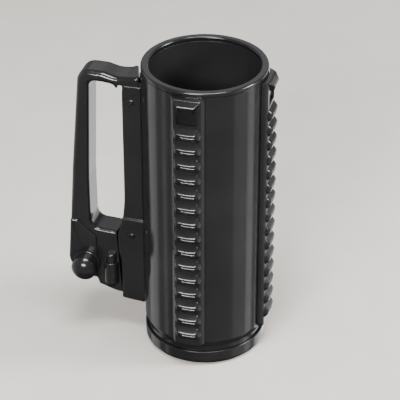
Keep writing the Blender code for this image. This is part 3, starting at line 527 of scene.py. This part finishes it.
# ---- handle -----------------------------------------------------------------------------
# Pairs of corners round the handle's loop: outer (x, z, radius), inner (x, z, radius), half the loop's
# width there, and the rounding of its outer and inner edges. They run from the cup over the arch, down the
# grip, under the finger hole and back up the column that the side plates cover.
LOOP = [
    ((-38.0, 180.7, 1.6), (-48.4, 174.2, 0.3), 9.0, 3.0, 0.6),
    ((-46.0, 179.4, 12.0), (-50.9, 174.3, 0.4), 9.0, 3.2, 0.6),
    ((-51.6, 178.9, 14.0), (-51.7, 171.8, 0.2), 9.0, 3.2, 0.8),
    ((-54.6, 179.2, 14.0), (-54.4, 173.9, 4.0), 9.0, 3.4, 2.0),
    ((-60.6, 180.9, 12.0), (-60.2, 174.5, 8.0), 9.0, 3.6, 2.4),
    ((-76.3, 181.0, 12.5), (-69.2, 174.5, 5.5), 9.0, 3.6, 2.6),
    ((-82.2, 112.0, 70.0), (-71.5, 108.0, 60.0), 9.0, 3.4, 2.8),
    ((-86.2, 46.0, 9.0), (-71.5, 71.2, 6.4), 9.0, 2.4, 2.6),
    ((-80.0, 36.5, 5.0), (-57.2, 70.4, 0.4), 9.0, 1.8, 2.4),
    ((-68.2, 33.6, 2.0), (-56.6, 70.4, 0.3), 9.0, 1.6, 2.4),
    ((-66.6, 29.2, 1.0), (-56.0, 70.4, 0.3), 9.0, 1.6, 2.4),
    ((-56.0, 25.8, 4.0), (-55.4, 70.4, 0.3), 9.0, 1.6, 2.4),
    ((-51.8, 25.3, 0.3), (-54.6, 70.5, 0.3), 9.0, 1.6, 2.2),
    ((-51.3, 25.2, 0.3), (-53.9, 70.8, 0.3), 4.0, 0.4, 0.4),
    ((-38.1, 24.6, 0.5), (-52.0, 75.0, 2.0), 4.0, 0.4, 0.4),
    ((-38.1, 86.0, 2.0), (-50.0, 84.0, 8.0), 4.0, 0.4, 0.4),
    ((-38.1, 166.0, 2.0), (-48.6, 164.0, 2.0), 4.0, 0.4, 0.4),
    ((-38.1, 174.8, 0.2), (-48.4, 173.0, 0.3), 4.0, 0.4, 0.4),
    ((-38.1, 175.4, 0.2), (-48.4, 173.6, 0.2), 9.0, 0.6, 0.6),
]


def make_handle_loop():
    """The handle's loop: a rounded rectangle between the loop's inner and outer edges, carried round it. The
    end beside the cup is then sheared, because its face turns away from the rim towards the far side."""
    outer = rounded([pair[0] for pair in LOOP], 10)
    inner = rounded([pair[1] for pair in LOOP], 10)
    each = len(outer) // len(LOOP)
    half, outer_edge, inner_edge = (np.repeat([pair[k] for pair in LOOP], each) for k in (2, 3, 4))
    across = outer - inner
    length = np.hypot(*across.T)
    across = across / length[:, None]
    radii = (inner_edge, outer_edge, outer_edge, inner_edge)
    section = boxed(np.zeros_like(length), length, -half, half, radii, arc=8)
    x = inner[:, :1] + across[:, :1] * section[..., 0]
    z = inner[:, 1:] + across[:, 1:] * section[..., 0]
    y = section[..., 1]
    share = np.clip((x + 47.0) / 9.0, 0, 1) * np.clip((z - 172.0) / 3.0, 0, 1)
    x = x + share * (1.1 - 0.33 * (y + 9.0))
    return skin("handle_loop", np.stack([x, y, z], -1), "black_shell", ring=True, stands_for="carry_handle")


def make_sight_block():
    """The block at the grip's foot, a flat piece across the handle, and the shoulder the knob sits on."""
    half = HANDLE_HIGH[1]
    corners = [
        (-84.0, 76.4, 1.4),
        (-79.6, 76.0, 3.0),
        (-67.3, 65.4, 3.0),
        (-67.3, 34.4, 1.5),
        (-79.4, 36.8, 5.0),
        (-86.1, 45.4, 8.0),
    ]
    slab("sight_block", corners, -half, half, "black_shell", edge=1.6, arc=8)
    origin = (KNOB_X, -half, KNOB_Z)
    turned(
        "knob_seat",
        [(0, -2.0, 0), (8.5, -2.0, 0.2), (8.5, 0.9, 0.7), (5.8, 0.9, 0.1), (5.8, 0.2, 0.1), (0, 0.2, 0)],
        "black_shell",
        steps=96,
        axis=(origin, TO_NEAR),
    )


def make_knob():
    """Domed knob: a short drum, then an arc of a sphere whose top is the knob's farthest point."""
    radius = (KNOB_HIGH[0] - KNOB_LOW[0]) / 2
    length = KNOB_HIGH[1] - KNOB_LOW[1]
    drum = length - 4.9
    crown = length - drum
    ball = (radius**2 + crown**2) / (2 * crown)
    swing = math.asin(radius / ball)
    angle = np.linspace(0, swing, 18)[1:-1]
    dome = [(ball * math.sin(a), length - ball * (1 - math.cos(a)), 0.4) for a in angle]
    corners = [
        (0, 0, 0),
        (radius - 0.3, 0, 0.2),
        (radius, 0.5, 0.2),
        (radius, drum, 1.4),
        *reversed(dome),
        (0, length, 0),
    ]
    turned(
        "sight_knob_turned",
        corners,
        "black_shell",
        steps=144,
        axis=((KNOB_X, KNOB_HIGH[1], KNOB_Z), TO_NEAR),
        body="knob",
        stands_for="sight_knob",
    )


# turns of a cheek's outer edge: (z, x)
CHEEK_TURNS = np.array(
    [
        (20.0, -51.2),
        (51.0, -51.2),
        (57.5, -53.2),
        (69.6, -53.2),
        (73.0, -52.3),
        (80.0, -50.3),
        (88.0, -49.2),
        (96.0, -48.6),
        (171.8, -48.5),
        (172.6, -48.1),
        (180.0, -48.1),
    ]
)
CHEEK_STEP_Z = 82.2  # the lower block's upper edge
CHEEK_EDGE = 0.9  # radius of a cheek's outer edges
CHEEK_FACES = (4.3, 10.5)  # distances of its inner face and its lower block from the middle plane
CHEEK_STEP = 1.0  # how far the upper face stands back from the lower block


def cheek_edge(z):
    """The cheek's outer edge: x at each height, on straight lines between the turns of its outline."""
    return np.interp(z, CHEEK_TURNS[:, 0], CHEEK_TURNS[:, 1])


def make_cheek(name, node, side):
    """A side plate as closed sections up its height. Its face steps out at the lower block, and all of its
    outer edges are rounded; the inner edge follows the sleeve."""
    low, top = PLATE_LOW[2], PLATE_HIGH[2]
    ends = CHEEK_EDGE * (1 - np.cos(np.linspace(0, math.pi / 2, 7)))
    step = CHEEK_STEP_Z
    heights = [
        low + ends,
        np.linspace(low + 1.2, step - 2, 110),
        np.linspace(step - 1.5, step + 1.5, 48),
        np.linspace(step + 2, top - 1.2, 130),
        top - ends,
    ]
    z = np.unique(np.concatenate(heights))
    drawn = softened(np.minimum(z - low, top - z), CHEEK_EDGE)
    blend = np.clip((z - (step - 0.55)) / 1.1, 0, 1)
    blend = blend * blend * (3 - 2 * blend)
    outer_y = CHEEK_FACES[1] - CHEEK_STEP * blend - drawn
    eased = np.convolve(np.pad(cheek_edge(z), 4, mode="edge"), np.ones(9) / 9, mode="valid")
    outline_x = eased + drawn * 0.6
    inner_y = np.full_like(z, CHEEK_FACES[0])
    face = boxed(outline_x, np.zeros_like(z), inner_y, outer_y, (0.2, 0.2, 0.6, 0.9))
    y = face[..., 1]
    reach = -np.sqrt((BODY_R + GAP) ** 2 - y**2)
    near_left = face[..., 0] < outline_x[:, None] / 2
    x = np.where(near_left, face[..., 0], reach + face[..., 0])
    rise = np.repeat(z[:, None], x.shape[1], axis=1)
    slope = (x + 51.2) * -0.10 * np.clip((40 - rise) / 18, 0, 1)
    rows = np.stack([x, side * y, rise + slope], -1)
    return skin(name, rows, "black_shell", stands_for=node)


def make_pod_and_button():
    """The half-round pod on the stem, and the button that slides in it."""
    x = (BUTTON_LOW[0] + BUTTON_HIGH[0]) / 2
    y = (BUTTON_LOW[1] + BUTTON_HIGH[1]) / 2
    top, low = POD_TOP, POD_LOW
    turned(
        "button_pod",
        [
            (0, top - 1.5, 0),
            (3.65, top - 1.5, 0.1),
            (3.7, top, 0.15),
            (4.6, top, 0.4),
            (4.6, low + 2.6, 2.5),
            (2.6, low, 1.4),
            (0, low, 0),
        ],
        "black_shell",
        steps=96,
        axis=((x, y, 0), UPRIGHT),
    )

    head = (BUTTON_HIGH[0] - BUTTON_LOW[0]) / 2
    turned(
        "push_button_fluted",
        [
            (0, BUTTON_LOW[2], 0),
            (2.0, BUTTON_LOW[2], 0.3),
            (2.0, 36.9, 0.1),
            (1.2, 36.9, 0.1),
            (1.2, 41.0, 0.1),
            (2.0, 41.0, 0.1),
            (2.0, top - 1.5, 0.1),
            (head, top - 1.5, 0.2),
            (head, top + 0.4, 0.2),
            (head, top + 1.4, 0.2),
            (head, BUTTON_HIGH[2] - 2.6, 0.3),
            (head, BUTTON_HIGH[2], 2.2),
            (0, BUTTON_HIGH[2], 0),
        ],
        "black_shell",
        steps=192,
        axis=((x, y, 0), UPRIGHT),
        body="button",
        stands_for="push_button",
    )


def shorten_spring():
    """Gives the coil under the button's head a mesh of its own; its length stays as it is."""
    coil = frame["nodes"]["button_spring"]
    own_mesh(coil)


def make_cross_screws():
    """Domed screw heads with a hexagonal socket, and their shanks."""

    def socket(r, z, angle):
        """Radii inside the head's socket follow a hexagon."""
        sector = np.mod(angle, TURN / 6) - TURN / 12
        return np.where((r < 0.86) & (z > -0.8), r * math.cos(TURN / 12) / np.cos(sector), r)

    for name in ("upper_cross_screw", "lower_cross_screw"):
        low, high = span(name)
        x, z = (low[0] + high[0]) / 2, (low[2] + high[2]) / 2
        head = (high[0] - low[0]) / 2
        shank = high[1] - low[1]
        turned(
            name + "_turned",
            [
                (0, -shank, 0),
                (1.5, -shank, 0.3),
                (1.5, -1.3, 0.1),
                (head, -1.3, 0.1),
                (head, -0.7, 0.5),
                (head * 0.62, 0.0, 1.4),
                (0.85, 0.0, 0.1),
                (0.80, -0.6, 0.05),
                (0, -0.65, 0),
            ],
            "dark_steel",
            steps=72,
            wobble=socket,
            axis=((x, low[1], z), TO_NEAR),
            stands_for=name,
        )


def finish_inner_pieces():
    """Pieces that keep their CAD shape take the finish of their slot."""
    slots = {part["node"]: part["material_slot"] for part in frame["record"]["subparts"]}
    for name, node in frame["nodes"].items():
        if not node.hide_render:
            node.data.materials.clear()
            node.data.materials.append(FINISHES[slots[name]])


# ---- floor, light and camera ------------------------------------------------------------


def make_floor():
    """A wide pale square under the foot; it stays out of reflections and casts no shadow."""
    mesh = bpy.data.meshes.new("floor")
    reach = 6.0
    corners = [(-reach, -reach, 0), (reach, -reach, 0), (reach, reach, 0), (-reach, reach, 0)]
    mesh.from_pydata(corners, [], [(0, 1, 2, 3)])
    floor = bpy.data.objects.new("floor", mesh)
    bpy.context.scene.collection.objects.link(floor)
    pale = finish("pale_floor", FLOOR_COLOUR, 0.9, mottle=0.03, speck=60.0, bump=0.02)
    mesh.materials.append(pale)
    floor.visible_glossy = False
    floor.visible_shadow = False


CAMERA_AZIMUTH, CAMERA_ELEVATION = 15.34, 32.73  # degrees
CAMERA_DISTANCE, AIM_HEIGHT = 1.1, 0.087  # metres


def aimed(position, target, up=(0, 0, 1)):
    """World matrix that puts a light or camera at a position, looking at a target."""
    back = (Vector(position) - Vector(target)).normalized()
    right = Vector(up).cross(back).normalized()
    matrix = Matrix((right, back.cross(right), back)).transposed().to_4x4()
    matrix.translation = Vector(position)
    return matrix


def polar(azimuth, radius, height):
    """Point at an azimuth counted from the camera's own, positive towards its right hand."""
    angle = math.radians(CAMERA_AZIMUTH + azimuth)
    return (radius * math.sin(angle), -radius * math.cos(angle), height)


def panel(name, azimuth, radius, height, size, power, target=(0, 0, 0.1), diffuse=1.0):
    """A rectangular studio panel at polar(azimuth, radius, height), in metres, turned towards target."""
    light = bpy.data.lights.new(name, "AREA")
    light.shape = "RECTANGLE"
    light.size, light.size_y = size
    light.energy = power
    light.diffuse_factor = diffuse
    lamp = bpy.data.objects.new(name, light)
    bpy.context.scene.collection.objects.link(lamp)
    lamp.matrix_world = aimed(polar(azimuth, radius, height), target)
    lamp.visible_camera = False
    return lamp


def make_light():
    """Soft panels round the object, a dim world, and a dark card far below it that the faces turned down
    reflect."""
    world = bpy.data.worlds.new("studio")
    bpy.context.scene.world = world
    world.use_nodes = True
    world.node_tree.nodes["Background"].inputs["Color"].default_value = (0.93, 0.95, 1.0, 1.0)
    world.node_tree.nodes["Background"].inputs["Strength"].default_value = 0.27
    panel("left_strip", -113, 0.9, -0.25, (0.48, 1.8), 2.1, target=(0, 0, -0.25))
    panel("left_edge", -78, 0.9, -0.25, (0.12, 1.8), 0.45, target=(0, 0, -0.25))
    panel("right_strip", 90, 0.9, -0.25, (0.26, 1.8), 1.9, target=(0, 0, -0.25))
    panel("right_fill", 66, 1.1, -0.3, (0.5, 1.8), 1.4, target=(0, 0, -0.3))
    panel("front_fill", 22, 1.2, -0.92, (1.4, 0.6), 0.27, target=(0, 0, 0.05))
    panel("overhead", 10, 0.25, 1.4, (0.8, 0.35), 24.0)
    panel("front_gleam", -20, 1.15, 0.78, (0.6, 0.22), 24.0, diffuse=0.0)
    panel("right_gleam", 84, 0.9, 0.62, (0.3, 0.3), 12.0, diffuse=0.0)
    panel("behind", 142, 1.5, -0.45, (1.5, 1.7), 16.0, target=(0, 0, 0.0))
    panel("behind_high", 176, 1.4, 1.0, (1.2, 0.5), 0.9)
    turn = np.linspace(0, TURN, 48, endpoint=False)
    disc = np.stack([2.1 * np.cos(turn), 2.1 * np.sin(turn), np.full_like(turn, -1.6)], -1)
    card = bpy.data.meshes.new("dark_card")
    card.from_pydata(disc.tolist(), [], [tuple(range(48))])
    card.materials.append(finish("dark_cloth", CLOTH_COLOUR, 0.9, speck=60.0))
    below = bpy.data.objects.new("dark_card", card)
    bpy.context.scene.collection.objects.link(below)


def make_camera():
    """Long lens at the chosen azimuth and elevation, aimed at the middle of the cup."""
    camera = bpy.data.cameras.new("camera")
    camera.sensor_width = 36.0
    camera.lens = 36.0 * 1797 / 400
    camera.shift_x = -0.0123
    camera.shift_y = 0.037
    rig = bpy.data.objects.new("camera", camera)
    bpy.context.scene.collection.objects.link(rig)
    elevation = math.radians(CAMERA_ELEVATION)
    flat = CAMERA_DISTANCE * math.cos(elevation)
    height = AIM_HEIGHT + CAMERA_DISTANCE * math.sin(elevation)
    rig.matrix_world = aimed(polar(0, flat, height), (0, 0, AIM_HEIGHT))
    bpy.context.scene.camera = rig


make_cup()
make_base()
make_rail("front_rail_ribbed", "front_rail", -90)
make_rail("side_rail_ribbed", "side_rail", 0)
make_rail("back_rail_ribbed", "back_rail", 90)
make_handle_loop()
make_sight_block()
make_knob()
make_cheek("near_cheek", "near_side_plate", -1)
make_cheek("far_cheek", "far_side_plate", 1)
make_pod_and_button()
shorten_spring()
make_cross_screws()
finish_inner_pieces()
make_floor()
make_light()
make_camera()
